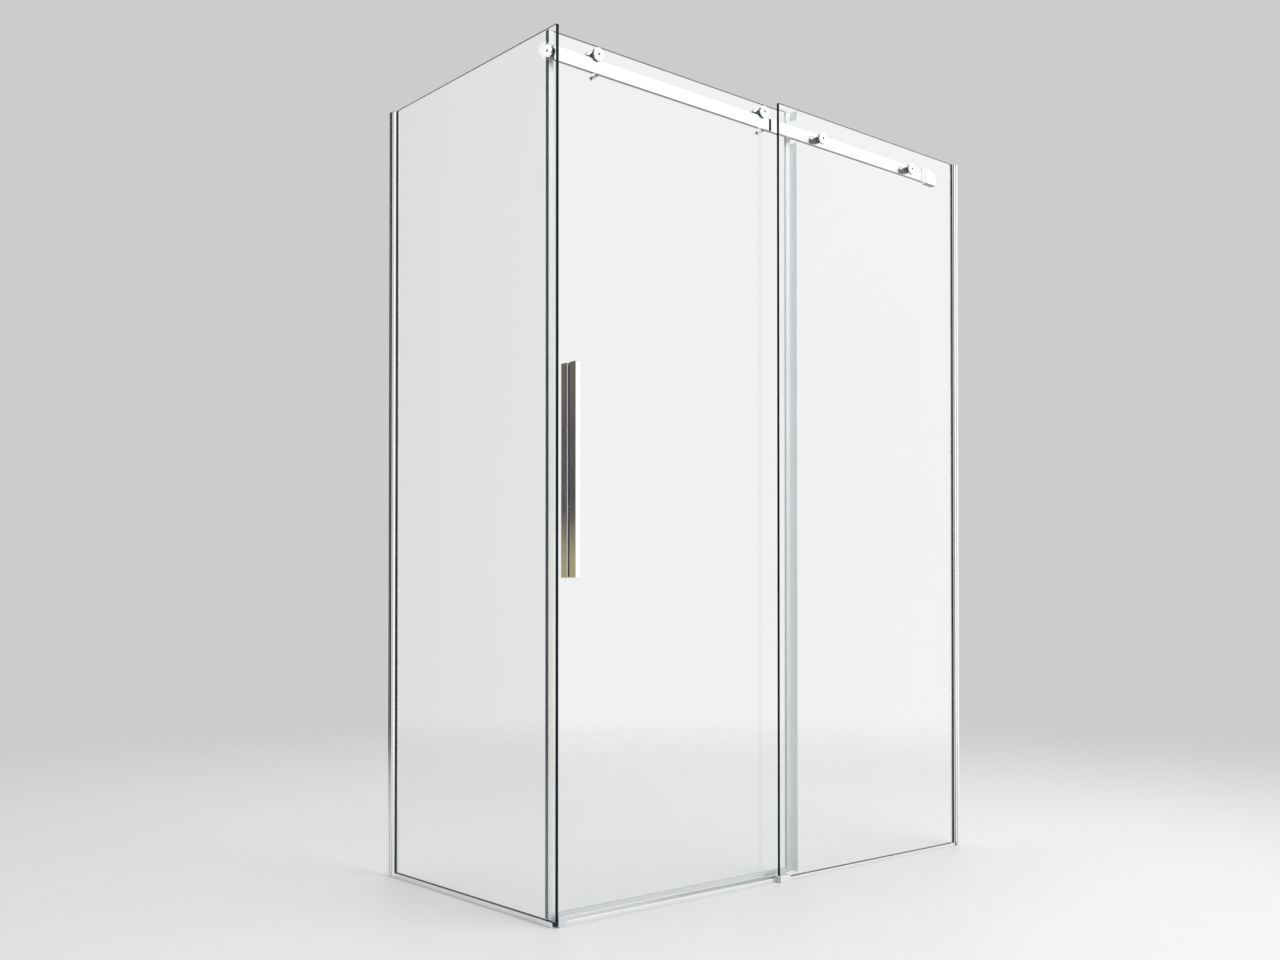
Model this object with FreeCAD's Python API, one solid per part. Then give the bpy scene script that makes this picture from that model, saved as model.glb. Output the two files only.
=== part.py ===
"""Corner shower enclosure with one sliding glass door.

A glass side panel and a fixed glass panel form the corner. The door hangs
from two flanged wheels on a flat rail, closes against the side panel and
slides open behind the fixed panel.

All sizes are millimetres. The enclosure is drawn from its outer corner on
the floor: X runs along the front, Y runs inwards and Z runs up. Each piece
is then moved so that the origin is the bottom centre of the whole enclosure.
"""
import FreeCAD, Part
import math
import os

# Overall size, from the outer glass faces at the corner to the two walls
HEIGHT = 2000.0
FRONT_WALL_X = 1472.0
SIDE_WALL_Y = 714.0

# Glass
GLASS = 8.0
ARRIS = 0.6
GLASS_FOOT = 3.0
FIXED_LEAD_X = 717.0
DOOR_LEAD_X = 10.0
DOOR_TRAIL_X = 789.5
DOOR_Y = 35.0
DOOR_FOOT = 12.0
GLASS_HOLE_R = 7.0
SMALL_GLASS_HOLE_R = 5.0
STAND_OFF = 1.0

# Rail and the bolts that carry it
RAIL_Y = 18.0
RAIL_THICK = 10.0
RAIL_LOW = 1928.0
RAIL_HIGH = 1960.0
RAIL_START_X = 13.0
RAIL_END_X = 1388.0
FIXED_BOLT_X = (881.0, 1260.0)
BOLT_R = 4.0
BOLT_CAP_R = 15.0
BOLT_CAP_THICK = 7.0
HEX_SOCKET = 5.0
HEX_DEEP = 3.5
SPACER_R = 9.0
SIDE_DISC_R = 10.0
SIDE_THREAD = 20.0

# End stop, a capped sleeve over the rail's far end
STOP_START_X = 1347.0
STOP_END_X = 1393.0
STOP_STEP_X = 1373.0
STOP_FRONT_Y = 14.0
STOP_BACK_Y = 31.0
STOP_LOW = 1925.0
STOP_HIGH = 1969.0
STOP_SHOULDER = 1961.5
STOP_CORNER = 1950.0
BUFFER_LENGTH = 16.0
BUFFER_WALL = 1.2
BUFFER_RISE = 3.0

# Wheels, each a flanged disc round a ball bearing
WHEEL_X = (131.1, 676.3)
TREAD_R = 10.0
FLANGE_R = 15.0
FLANGE_FRONT_Y = 10.0
RAIL_SIDE_GAP = 0.5
RAIL_TOP_GAP = 0.3
BEARING_R = 8.0
BEARING_FRONT_Y = 12.6
AXLE_HEAD_R = 6.5
AXLE_HEAD_THICK = 2.3
RUNNING_GAP = 0.05
ROLLER_SPACER_R = 9.5
ROLLER_NUT_THICK = 7.0

# Anti-jump pins under the rail
PIN_R = 3.5
PIN_Z = 1922.5
PIN_FRONT_Y = 19.0
PIN_HEAD_R = 4.5
PIN_HEAD_THICK = 1.5

# Pull handle
HANDLE_X = 63.6
HANDLE_WIDTH = 13.8
HANDLE_LOW = 771.0
HANDLE_HIGH = 1260.0
HANDLE_OUT_Y = 10.0
HANDLE_IN_Y = 68.0
HANDLE_BOLT_Z = (926.0, 1075.0)
HANDLE_BOLT_R = 3.0
HANDLE_THREAD = 14.0
PAD_WIDTH = 10.0
PAD_END = 2.0

# Wall channels and the profiles that telescope in them
CHANNEL_HALF = 12.0
CHANNEL_DEPTH = 14.0
CHANNEL_WALL = 2.6
CHANNEL_GROOVE_V = (5.5, 9.5)
CHANNEL_GROOVE_DEEP = 1.4
PROFILE_DEPTH = 14.5
PROFILE_WALL = 2.4
PROFILE_WEB = 3.0
PROFILE_WEB_THICK = 1.6
PROFILE_GAP = 0.3
LEG_SLOPE_LONG = 9.0
LEG_SLOPE_FALL = 1.6
LEFT_PROFILE_BACK = 10.0
RIGHT_PROFILE_BACK = 3.0
GASKET_DEEP = 8.0
GASKET_NOSE = 1.5
SCREW_V = 11.4
SCREW_R = 1.5
SCREW_HEAD_R = 2.6
SCREW_HEAD_THICK = 1.8
LEFT_SCREW_Z = (141.0, 1716.0)
RIGHT_SCREW_Z = (175.0, 1823.0)
WALL_HOLE_R = 3.0
WALL_HOLE_Z = (150.0, 1850.0)
TOP_CAP = 2.0

# Floor profiles
FLOOR_WALL = 2.0
FLOOR_GASKET = 3.0
FLOOR_BASE = 1.5
SIDE_FLOOR_START_Y = 6.0
SIDE_FLOOR_HIGH = 11.0
FIXED_FLOOR_HIGH = 8.5
FLOOR_END_GAP = 1.0
THRESHOLD_FRONT_Y = 1.0
THRESHOLD_DEEP = 18.0
THRESHOLD_HIGH = 17.0
THRESHOLD_LIP = 10.0
THRESHOLD_WALL = 1.6
CORNER_BLOCK_X = 8.3
CORNER_BLOCK_WIDE = 22.7
CORNER_BLOCK_HIGH = 24.0
CORNER_BLOCK_LAP = 11.0
CORNER_GROOVE_X = (10.5, 19.5)

# Bottom guide
GUIDE_X = 707.0
GUIDE_WIDE = 36.0
GUIDE_FRONT_Y = -13.0
GUIDE_BACK_Y = 22.0
GUIDE_HIGH = 17.0
FORK_X = 698.0
FORK_WIDE = 40.0
FORK_BACK_Y = 52.0
FORK_HIGH = 14.0
FORK_BASE = 3.0
FORK_SIDE_GAP = 2.0
TONGUE_X = (718.0, 732.0)
TONGUE_DEEP = 4.0
TONGUE_HIGH = 9.0

# Seals of the door
SEAL_WALL = 1.5
LEAD_SEAL_WIDE = 12.0
LEAD_NOSE = 1.7
TRAIL_SEAL_WIDE = 13.5
FIN_TIP_Y = 9.5
SEAL_END_GAP = 2.0
DRIP_LOW = 5.0
BOTTOM_SEAL_HIGH = 22.0

# Derived places
GLASS_MID = GLASS / 2
DOOR_BACK_Y = DOOR_Y + GLASS
RAIL_BACK_Y = RAIL_Y + RAIL_THICK
RAIL_MID_Y = RAIL_Y + RAIL_THICK / 2
RAIL_MID_Z = (RAIL_LOW + RAIL_HIGH) / 2
WHEEL_Z = RAIL_HIGH + RAIL_TOP_GAP + TREAD_R
FLANGE_BACK_Y = RAIL_Y - RAIL_SIDE_GAP
WHEEL_BACK_Y = RAIL_BACK_Y + RAIL_SIDE_GAP
HANDLE_MID_X = HANDLE_X + HANDLE_WIDTH / 2
PROFILE_HALF = CHANNEL_HALF - CHANNEL_WALL - PROFILE_GAP
PROFILE_INNER = PROFILE_HALF - PROFILE_WALL
GLASS_SEAT = PROFILE_WEB + PROFILE_WEB_THICK + 0.5
PROFILE_HIGH = HEIGHT - TOP_CAP
SEAL_NEAR_Y = DOOR_Y - SEAL_WALL
SEAL_FAR_Y = DOOR_BACK_Y + SEAL_WALL
MIDDLE_X = (FRONT_WALL_X + GLASS_MID - CHANNEL_HALF) / 2
MIDDLE_Y = (SIDE_WALL_Y + GUIDE_FRONT_Y) / 2

FIT = 0.1
SLEEVE_END = 0.2
X_AXIS = FreeCAD.Vector(1, 0, 0)
Y_AXIS = FreeCAD.Vector(0, 1, 0)
Z_AXIS = FreeCAD.Vector(0, 0, 1)


# ---------------------------------------------------------------- helpers

def box(x0, x1, y0, y1, z0, z1):
    """Return the box between two corners."""
    return Part.makeBox(x1 - x0, y1 - y0, z1 - z0, FreeCAD.Vector(x0, y0, z0))


def rod(axis, start, radius, length):
    """Return a cylinder from the point start along axis."""
    return Part.makeCylinder(radius, length, FreeCAD.Vector(*start), axis)


def ring(axis, start, inner, outer, length):
    """Return a round sleeve or washer."""
    return rod(axis, start, outer, length).cut(rod(axis, start, inner, length))


def fused(shapes):
    """Return one solid made from shapes that meet."""
    return shapes[0].fuse(shapes[1:]).removeSplitter()


def group(shapes):
    """Return separate solids that belong to one node."""
    return Part.makeCompound(shapes)


def eased(shape, size, chosen):
    """Chamfer the edges whose bounding box passes the test chosen."""
    return shape.makeChamfer(size, [edge for edge in shape.Edges if chosen(edge.BoundBox)])


def hex_socket(axis, start, depth):
    """Return the hexagonal pocket of a socket screw, cut from start along axis."""
    side = Z_AXIS
    reach = HEX_SOCKET / 2 / math.cos(math.radians(30))
    centre = FreeCAD.Vector(*start)
    corners = [centre + FreeCAD.Rotation(axis, 60.0 * turn).multVec(side) * reach for turn in range(6)]
    return Part.Face(Part.makePolygon(corners + corners[:1])).extrude(axis * depth)


def outline(corners):
    """Return a closed flat wire through (a, b, radius) corners, each one rounded."""
    points = [FreeCAD.Vector(a, b, 0) for a, b, radius in corners]
    count = len(points)
    entries = []
    exits = []
    edges = []
    for index, (a, b, radius) in enumerate(corners):
        here = points[index]
        before = (points[index - 1] - here).normalize()
        after = (points[(index + 1) % count] - here).normalize()
        if radius == 0:
            entries.append(here)
            exits.append(here)
            continue
        half = before.getAngle(after) / 2
        reach = radius / math.tan(half)
        inwards = (before + after).normalize()
        middle = here + inwards * (radius / math.sin(half) - radius)
        entries.append(here + before * reach)
        exits.append(here + after * reach)
        edges.append((index, Part.Arc(entries[-1], middle, exits[-1]).toShape()))
    arcs = dict(edges)
    loop = []
    for index in range(count):
        if index in arcs:
            loop.append(arcs[index])
        following = (index + 1) % count
        if exits[index].distanceToPoint(entries[following]) > 1e-6:
            loop.append(Part.LineSegment(exits[index], entries[following]).toShape())
    return Part.Wire(loop)


def prism(corners, length):
    """Return the extrusion of an outline along its local Z."""
    return Part.Face(outline(corners)).extrude(Z_AXIS * length)


def along_x(corners, start, end):
    """Extrude an outline of (Y, Z) corners from X start to X end."""
    turned = prism(corners, end - start)
    turned.rotate(FreeCAD.Vector(), FreeCAD.Vector(1, 1, 1), 120)
    turned.translate(X_AXIS * start)
    return turned


def along_y(corners, start, end):
    """Extrude an outline of (X, Z) corners from Y start to Y end."""
    turned = prism(corners, end - start)
    turned.rotate(FreeCAD.Vector(), X_AXIS, 90)
    turned.translate(Y_AXIS * end)
    return turned


def along_z(corners, start, end):
    """Extrude an outline of (X, Y) corners from Z start to Z end."""
    raised = prism(corners, end - start)
    raised.translate(Z_AXIS * start)
    return raised


def revolved(points, centre_x):
    """Return the solid turned about a wheel's axle from (y, radius) points."""
    corners = [FreeCAD.Vector(radius, y, 0) for y, radius in points]
    face = Part.Face(Part.makePolygon(corners + corners[:1]))
    solid = face.revolve(FreeCAD.Vector(), Y_AXIS, 360)
    solid.translate(FreeCAD.Vector(centre_x, 0, WHEEL_Z))
    return solid


# ------------------------------------------------------------------ glass

def glass_pane(x0, x1, y0, y1, z0):
    """Return a toughened pane up to the full height, with arrised edges."""
    pane = box(x0, x1, y0, y1, z0, HEIGHT)
    return pane.makeChamfer(ARRIS, pane.Edges)


def side_panel_glass():
    pane = glass_pane(0, GLASS, 0, SIDE_WALL_Y - LEFT_PROFILE_BACK - GLASS_SEAT, GLASS_FOOT)
    return pane.cut(rod(X_AXIS, (-1, RAIL_MID_Y, RAIL_MID_Z), GLASS_HOLE_R, GLASS + 2))


def fixed_panel_glass():
    end_x = FRONT_WALL_X - RIGHT_PROFILE_BACK - GLASS_SEAT
    pane = glass_pane(FIXED_LEAD_X, end_x, 0, GLASS, GLASS_FOOT)
    for x in FIXED_BOLT_X:
        pane = pane.cut(rod(Y_AXIS, (x, -1, RAIL_MID_Z), GLASS_HOLE_R, GLASS + 2))
    return pane


def door_glass():
    pane = glass_pane(DOOR_LEAD_X, DOOR_TRAIL_X, DOOR_Y, DOOR_BACK_Y, DOOR_FOOT)
    holes = [(x, WHEEL_Z, GLASS_HOLE_R) for x in WHEEL_X]
    holes += [(x, PIN_Z, PIN_R + FIT) for x in WHEEL_X]
    holes += [(HANDLE_MID_X, z, SMALL_GLASS_HOLE_R) for z in HANDLE_BOLT_Z]
    for x, z, radius in holes:
        pane = pane.cut(rod(Y_AXIS, (x, DOOR_Y - 1, z), radius, GLASS + 2))
    return pane


# ----------------------------------------------- wall channels and profiles
# These are drawn in (u, v): u across the glass, with the outside negative,
# and v away from the wall.

def seat(shape, side):
    """Move a shape from (u, v, z) to the left wall or the right wall."""
    if side == "left":
        placed = shape.mirror(FreeCAD.Vector(), Y_AXIS)
        placed.translate(FreeCAD.Vector(GLASS_MID, SIDE_WALL_Y, 0))
    else:
        placed = shape.copy()
        placed.rotate(FreeCAD.Vector(), Z_AXIS, 90)
        placed.translate(FreeCAD.Vector(FRONT_WALL_X, GLASS_MID, 0))
    return placed


def profile_back(side):
    """Return how far from the wall the telescoping profile starts."""
    return LEFT_PROFILE_BACK if side == "left" else RIGHT_PROFILE_BACK


def screw_places(side):
    """Return where the screws that clamp the profile start, in (u, v, z)."""
    heights = LEFT_SCREW_Z if side == "left" else RIGHT_SCREW_Z
    return [(PROFILE_HALF, SCREW_V, z) for z in heights]


def leg_slope(side):
    """Return the sloped outer face of the profile's leg, where it stands clear of the channel."""
    front = profile_back(side) + PROFILE_DEPTH
    start = max(front - LEG_SLOPE_LONG, CHANNEL_DEPTH)
    fall = LEG_SLOPE_FALL * (start - front + LEG_SLOPE_LONG) / LEG_SLOPE_LONG
    return [(-PROFILE_HALF + LEG_SLOPE_FALL, front, 0), (-PROFILE_HALF + fall, start, 0)]


def wall_channel(side):
    """Return the channel that is screwed to the wall, with a shadow groove along its outer face."""
    inner = CHANNEL_HALF - CHANNEL_WALL
    mark = 1.5
    groove_floor = -CHANNEL_HALF + CHANNEL_GROOVE_DEEP
    groove_back, groove_front = CHANNEL_GROOVE_V
    section = [
        (-CHANNEL_HALF, 0, 0), (CHANNEL_HALF, 0, 0),
        (CHANNEL_HALF, CHANNEL_DEPTH, 0), (inner, CHANNEL_DEPTH, 0),
        (inner, CHANNEL_WALL, 0), (mark, CHANNEL_WALL, 0), (0, CHANNEL_WALL - mark / 2, 0),
        (-mark, CHANNEL_WALL, 0), (-inner, CHANNEL_WALL, 0),
        (-inner, CHANNEL_DEPTH, 0), (-CHANNEL_HALF, CHANNEL_DEPTH, 0),
        (-CHANNEL_HALF, groove_front, 0), (groove_floor, groove_front - 0.4, 0),
        (groove_floor, groove_back + 0.4, 0), (-CHANNEL_HALF, groove_back, 0),
    ]
    channel = prism(section, PROFILE_HIGH)
    for z in WALL_HOLE_Z:
        channel = channel.cut(rod(Y_AXIS, (0, -1, z), WALL_HOLE_R, CHANNEL_WALL + 2))
    for place in screw_places(side):
        channel = channel.cut(rod(X_AXIS, place, SCREW_R + FIT, CHANNEL_WALL + 2))
    return seat(channel, side)


def glass_profile(side):
    """Return the profile that holds the glass and telescopes in the channel."""
    back = profile_back(side)
    web = back + PROFILE_WEB
    floor = web + PROFILE_WEB_THICK
    front = back + PROFILE_DEPTH
    section = [
        (-PROFILE_HALF, back, 0), (-PROFILE_INNER, back, 0),
        (-PROFILE_INNER, web, 0), (PROFILE_INNER, web, 0),
        (PROFILE_INNER, back, 0), (PROFILE_HALF, back, 0),
        (PROFILE_HALF, front, 0), (PROFILE_INNER, front, 0),
        (PROFILE_INNER, floor, 0), (-PROFILE_INNER, floor, 0),
        (-PROFILE_INNER, front, 0), (-PROFILE_HALF + LEG_SLOPE_FALL, front, 0),
        (-PROFILE_HALF, front - LEG_SLOPE_LONG, 0),
    ]
    return seat(prism(section, PROFILE_HIGH), side)


def glass_gasket(side):
    """Return the two rubber strips that wedge the glass in its profile."""
    front = profile_back(side) + PROFILE_DEPTH
    back = front - GASKET_DEEP
    nose = front + GASKET_NOSE
    strips = []
    for hand in (-1, 1):
        section = [
            (hand * GLASS_MID, back, 0), (hand * (PROFILE_INNER - 1), back, 0),
            (hand * PROFILE_INNER, back + 1, 0), (hand * PROFILE_INNER, front - 1.0, 0),
            (hand * (PROFILE_INNER - 1.2), nose, 0), (hand * GLASS_MID, nose, 0),
        ]
        strips.append(seat(prism(section, PROFILE_HIGH), side))
    return group(strips)


def clamp_screws(side):
    """Return the small screws that clamp the profile in the channel, from inside."""
    screws = []
    for place in screw_places(side):
        head_u = CHANNEL_HALF
        head = rod(X_AXIS, (head_u, place[1], place[2]), SCREW_HEAD_R, SCREW_HEAD_THICK)
        shank = rod(X_AXIS, place, SCREW_R, head_u - place[0])
        screws.append(seat(fused([head, shank]), side))
    return group(screws)


def top_cap(side):
    """Return the plate that closes the top of the channel and its profile."""
    front = profile_back(side) + PROFILE_DEPTH
    slot = GLASS_MID + SLEEVE_END
    slot_v = profile_back(side) + PROFILE_WEB + PROFILE_WEB_THICK
    section = [
        (-CHANNEL_HALF, 0, 0), (CHANNEL_HALF, 0, 0), (CHANNEL_HALF, CHANNEL_DEPTH, 0),
        (PROFILE_HALF, CHANNEL_DEPTH, 0), (PROFILE_HALF, front, 0), (slot, front, 0),
        (slot, slot_v, 0), (-slot, slot_v, 0), (-slot, front, 0), *leg_slope(side),
        (-PROFILE_HALF, CHANNEL_DEPTH, 0), (-CHANNEL_HALF, CHANNEL_DEPTH, 0),
    ]
    return seat(along_z(section, PROFILE_HIGH, HEIGHT), side)


# ---------------------------------------------------------- floor profiles

def floor_channel_section(high):
    """Return the outline of a floor channel, across the glass and up."""
    out = FLOOR_GASKET + FLOOR_WALL
    return [
        (-out, 0, 0), (GLASS + out, 0, 0), (GLASS + out, high, 0),
        (GLASS + FLOOR_GASKET, high, 0), (GLASS + FLOOR_GASKET, FLOOR_BASE, 0),
        (-FLOOR_GASKET, FLOOR_BASE, 0), (-FLOOR_GASKET, high, 0), (-out, high, 0),
    ]


def floor_gasket_section(high):
    """Return the outline of the strip between a pane and its floor channel."""
    return [
        (-FLOOR_GASKET, FLOOR_BASE, 0), (GLASS + FLOOR_GASKET, FLOOR_BASE, 0),
        (GLASS + FLOOR_GASKET, high, 0), (GLASS, high, 0), (GLASS, GLASS_FOOT, 0),
        (0, GLASS_FOOT, 0), (0, high, 0), (-FLOOR_GASKET, high, 0),
    ]


def side_floor_piece(section):
    """Extrude a section under the side panel, cut away for the corner block."""
    end_y = SIDE_WALL_Y - LEFT_PROFILE_BACK - PROFILE_DEPTH - GASKET_NOSE - FLOOR_END_GAP
    piece = along_y(section, SIDE_FLOOR_START_Y, end_y)
    notch_y = THRESHOLD_FRONT_Y + THRESHOLD_DEEP + 2.0
    notch = box(GLASS + SLEEVE_END, CORNER_BLOCK_X + GLASS, 0, notch_y, -1, SIDE_FLOOR_HIGH + 1)
    return piece.cut(notch)


def fixed_floor_piece(section):
    """Extrude a section under the fixed panel, from the guide to the wall profile."""
    end_x = FRONT_WALL_X - RIGHT_PROFILE_BACK - PROFILE_DEPTH - GASKET_NOSE - FLOOR_END_GAP
    return along_x(section, GUIDE_X + GUIDE_WIDE + 0.5, end_x)


def side_floor_profile():
    return side_floor_piece(floor_channel_section(SIDE_FLOOR_HIGH))


def side_floor_gasket():
    return side_floor_piece(floor_gasket_section(SIDE_FLOOR_HIGH - 1))


def fixed_floor_profile():
    return fixed_floor_piece(floor_channel_section(FIXED_FLOOR_HIGH))


def fixed_floor_gasket():
    return fixed_floor_piece(floor_gasket_section(FIXED_FLOOR_HIGH - 1))


def threshold_section(inset):
    """Return the outline of the threshold, low at the front and high behind."""
    front = THRESHOLD_FRONT_Y + inset
    back = THRESHOLD_FRONT_Y + THRESHOLD_DEEP - inset
    top = THRESHOLD_HIGH - inset
    lip = THRESHOLD_LIP - inset * 0.7
    soft = max(2.4 - inset * 1.5, 0)
    return [
        (front, inset, 0), (back, inset, 0), (back, top, soft),
        (back - 7.0 + inset, top, soft), (front, lip, soft),
    ]


def threshold_profile():
    """Return the hollow bar across the doorway that keeps the water in."""
    start = CORNER_BLOCK_X + CORNER_BLOCK_WIDE - CORNER_BLOCK_LAP
    end = GUIDE_X - 0.5
    bar = along_x(threshold_section(0), start, end)
    return bar.cut(along_x(threshold_section(THRESHOLD_WALL), start, end))


def threshold_corner_block():
    """Return the grooved block that laps the threshold's end at the side panel."""
    end_x = CORNER_BLOCK_X + CORNER_BLOCK_WIDE
    front_y = THRESHOLD_FRONT_Y - 3.0
    back_y = THRESHOLD_FRONT_Y + THRESHOLD_DEEP + 1.5
    block = box(CORNER_BLOCK_X, end_x, front_y, back_y, 0, CORNER_BLOCK_HIGH)
    block = eased(block, 1.2, lambda edge: edge.ZMax > 1)
    top = CORNER_BLOCK_HIGH
    for x in CORNER_GROOVE_X:
        groove = [(x, top + 0.1, 0), (x + 5.0, top + 0.1, 0), (x + 2.5, top - 2.6, 0)]
        block = block.cut(along_y(groove, front_y - 1, back_y + 1))
    pocket = [(y, z, 0) for y, z, radius in threshold_section(-SLEEVE_END)]
    return block.cut(along_x(pocket, end_x - CORNER_BLOCK_LAP - SLEEVE_END, end_x + 1))


# ------------------------------------------------------------ bottom guide

def guide_block():
    """Return the metal block that clasps the fixed panel's bottom corner."""
    end_x = GUIDE_X + GUIDE_WIDE
    section = [
        (GUIDE_FRONT_Y, 0, 0), (GUIDE_BACK_Y, 0, 0), (GUIDE_BACK_Y, GUIDE_HIGH, 6.0),
        (GUIDE_FRONT_Y, GUIDE_HIGH, 1.5),
    ]
    block = along_x(section, GUIDE_X, end_x)
    slot_low = GLASS_FOOT - SLEEVE_END
    slot_near = -SLEEVE_END
    slot_far = GLASS + SLEEVE_END
    block = block.cut(box(FIXED_LEAD_X + slot_near, end_x + 1, slot_near, slot_far, slot_low, GUIDE_HIGH + 1))
    return block.cut(guide_tongue(FIT))


def guide_tongue(ease):
    """Return the wedge that holds the fork in the block, grown by ease all round."""
    start_x, end_x = TONGUE_X
    back_y = GUIDE_BACK_Y - TONGUE_DEEP - ease
    plan = [
        (start_x + 1.5 - ease, GUIDE_BACK_Y + ease, 0), (start_x - ease, back_y, 0),
        (end_x + ease, back_y, 0), (end_x - 1.5 + ease, GUIDE_BACK_Y + ease, 0),
    ]
    return along_z(plan, -ease, TONGUE_HIGH + ease)


def guide_fork():
    """Return the plastic fork whose two prongs keep the door upright."""
    near = DOOR_Y - FORK_SIDE_GAP
    far = DOOR_BACK_Y + FORK_SIDE_GAP
    section = [
        (GUIDE_BACK_Y, 0, 0), (FORK_BACK_Y, 0, 0), (FORK_BACK_Y, FORK_HIGH, 2.0),
        (far, FORK_HIGH, 0), (far, FORK_BASE, 0), (near, FORK_BASE, 0),
        (near, FORK_HIGH, 0), (GUIDE_BACK_Y, FORK_HIGH, 0),
    ]
    return fused([along_x(section, FORK_X, FORK_X + FORK_WIDE), guide_tongue(0)])


# ------------------------------------------------------------------- rail

def rail():
    """Return the flat bar that the wheels run on."""
    bar = box(RAIL_START_X, RAIL_END_X, RAIL_Y, RAIL_BACK_Y, RAIL_LOW, RAIL_HIGH)
    bar = eased(bar, 0.5, lambda edge: edge.XLength > 1)
    for x in FIXED_BOLT_X:
        bar = bar.cut(rod(Y_AXIS, (x, RAIL_Y - 1, RAIL_MID_Z), BOLT_R + FIT, RAIL_THICK + 2))
    return bar.cut(rod(X_AXIS, (RAIL_START_X, RAIL_MID_Y, RAIL_MID_Z), BOLT_R + FIT, SIDE_THREAD))


def rail_room(start_x, end_x):
    """Return the space that a fitting leaves for the rail."""
    return box(start_x, end_x, RAIL_Y - FIT, RAIL_BACK_Y + FIT, RAIL_LOW - FIT, RAIL_HIGH + FIT)


def rail_end_stop():
    """Return the capped sleeve that stops the wheels, its far top corner rounded off."""
    front_view = [
        (STOP_START_X, STOP_LOW, 0), (STOP_END_X, STOP_LOW, 2.0),
        (STOP_END_X, STOP_CORNER, 7.0), (STOP_END_X - 10.0, STOP_SHOULDER, 7.0),
        (STOP_STEP_X, STOP_SHOULDER, 0), (STOP_STEP_X, STOP_HIGH, 1.5),
        (STOP_START_X, STOP_HIGH, 0),
    ]
    end_view = [
        (STOP_FRONT_Y, STOP_LOW - 1, 0), (STOP_BACK_Y, STOP_LOW - 1, 0),
        (STOP_BACK_Y, STOP_HIGH, 0), (STOP_FRONT_Y, STOP_HIGH, 4.0),
    ]
    block = along_y(front_view, STOP_FRONT_Y, STOP_BACK_Y)
    block = block.common(along_x(end_view, STOP_START_X, STOP_END_X))
    return block.cut(rail_room(STOP_START_X - 1, RAIL_END_X + SLEEVE_END))


def end_stop_buffer():
    """Return the clear collar that the opened door meets before the end stop."""
    start = STOP_START_X - BUFFER_LENGTH
    end = STOP_START_X - SLEEVE_END
    near = RAIL_Y - BUFFER_WALL
    far = RAIL_BACK_Y + BUFFER_WALL
    section = [
        (near, RAIL_LOW - BUFFER_WALL, 0), (far, RAIL_LOW - BUFFER_WALL, 0),
        (far, RAIL_HIGH + BUFFER_RISE, 1.0), (near, RAIL_HIGH + BUFFER_RISE, 1.0),
    ]
    return along_x(section, start, end).cut(rail_room(start - 1, end + 1))


def capped_bolt(axis, start, length):
    """Return a bolt with a broad round cap and a hexagonal socket, along axis."""
    base = FreeCAD.Vector(*start) + axis * BOLT_CAP_THICK
    head = rod(axis, start, BOLT_CAP_R, BOLT_CAP_THICK)
    shank = rod(axis, base, BOLT_R, length)
    return fused([head, shank]).cut(hex_socket(axis, start, HEX_DEEP))


def rail_bolts():
    """Return the capped bolts that carry the rail: one in its end, two in its face."""
    cap = -STAND_OFF - BOLT_CAP_THICK
    end_length = RAIL_START_X + SIDE_THREAD - 1 + STAND_OFF
    bolts = [capped_bolt(X_AXIS, (cap, RAIL_MID_Y, RAIL_MID_Z), end_length)]
    face_length = RAIL_BACK_Y - 1 + STAND_OFF
    for x in FIXED_BOLT_X:
        bolts.append(capped_bolt(Y_AXIS, (x, cap, RAIL_MID_Z), face_length))
    return group(bolts)


def rail_bolt_sleeves():
    """Return the clear sleeves that keep those bolts and their caps off the glass."""
    bore = BOLT_R + FIT
    outer = GLASS_HOLE_R - FIT
    length = GLASS + 2 * STAND_OFF
    sleeves = [ring(X_AXIS, (-STAND_OFF, RAIL_MID_Y, RAIL_MID_Z), bore, outer, length)]
    for x in FIXED_BOLT_X:
        sleeves.append(ring(Y_AXIS, (x, -STAND_OFF, RAIL_MID_Z), bore, outer, length))
    return group(sleeves)


def rail_spacers():
    """Return the collars between the rail and the glass of both panels."""
    bore = BOLT_R + FIT
    start = GLASS + STAND_OFF
    end_place = (start, RAIL_MID_Y, RAIL_MID_Z)
    collars = [ring(X_AXIS, end_place, bore, SIDE_DISC_R, RAIL_START_X - start)]
    for x in FIXED_BOLT_X:
        collars.append(ring(Y_AXIS, (x, start, RAIL_MID_Z), bore, SPACER_R, RAIL_Y - start))
    return group(collars)


# ----------------------------------------------------------------- wheels

def wheel(x):
    """Return a wheel with a broad front flange that keeps it on the rail."""
    return revolved([
        (FLANGE_FRONT_Y, BEARING_R), (FLANGE_FRONT_Y, FLANGE_R), (FLANGE_BACK_Y, FLANGE_R),
        (FLANGE_BACK_Y, TREAD_R), (WHEEL_BACK_Y, TREAD_R), (WHEEL_BACK_Y, BEARING_R),
    ], x)


def wheel_bearing(x):
    """Return the sealed double ball bearing in a wheel."""
    bore = BOLT_R + RUNNING_GAP
    end = WHEEL_BACK_Y - FIT
    return revolved([
        (BEARING_FRONT_Y, bore), (BEARING_FRONT_Y, BEARING_R), (end, BEARING_R), (end, bore),
    ], x)


def roller_axles():
    """Return the socket screws that carry the door on its wheels."""
    end = DOOR_BACK_Y + STAND_OFF + ROLLER_NUT_THICK - 1.5
    axles = []
    for x in WHEEL_X:
        start = (x, FLANGE_FRONT_Y, WHEEL_Z)
        head = rod(Y_AXIS, start, AXLE_HEAD_R, AXLE_HEAD_THICK)
        shank = rod(Y_AXIS, start, BOLT_R, end - FLANGE_FRONT_Y)
        axles.append(fused([head, shank]).cut(hex_socket(Y_AXIS, start, HEX_DEEP)))
    return group(axles)


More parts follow.
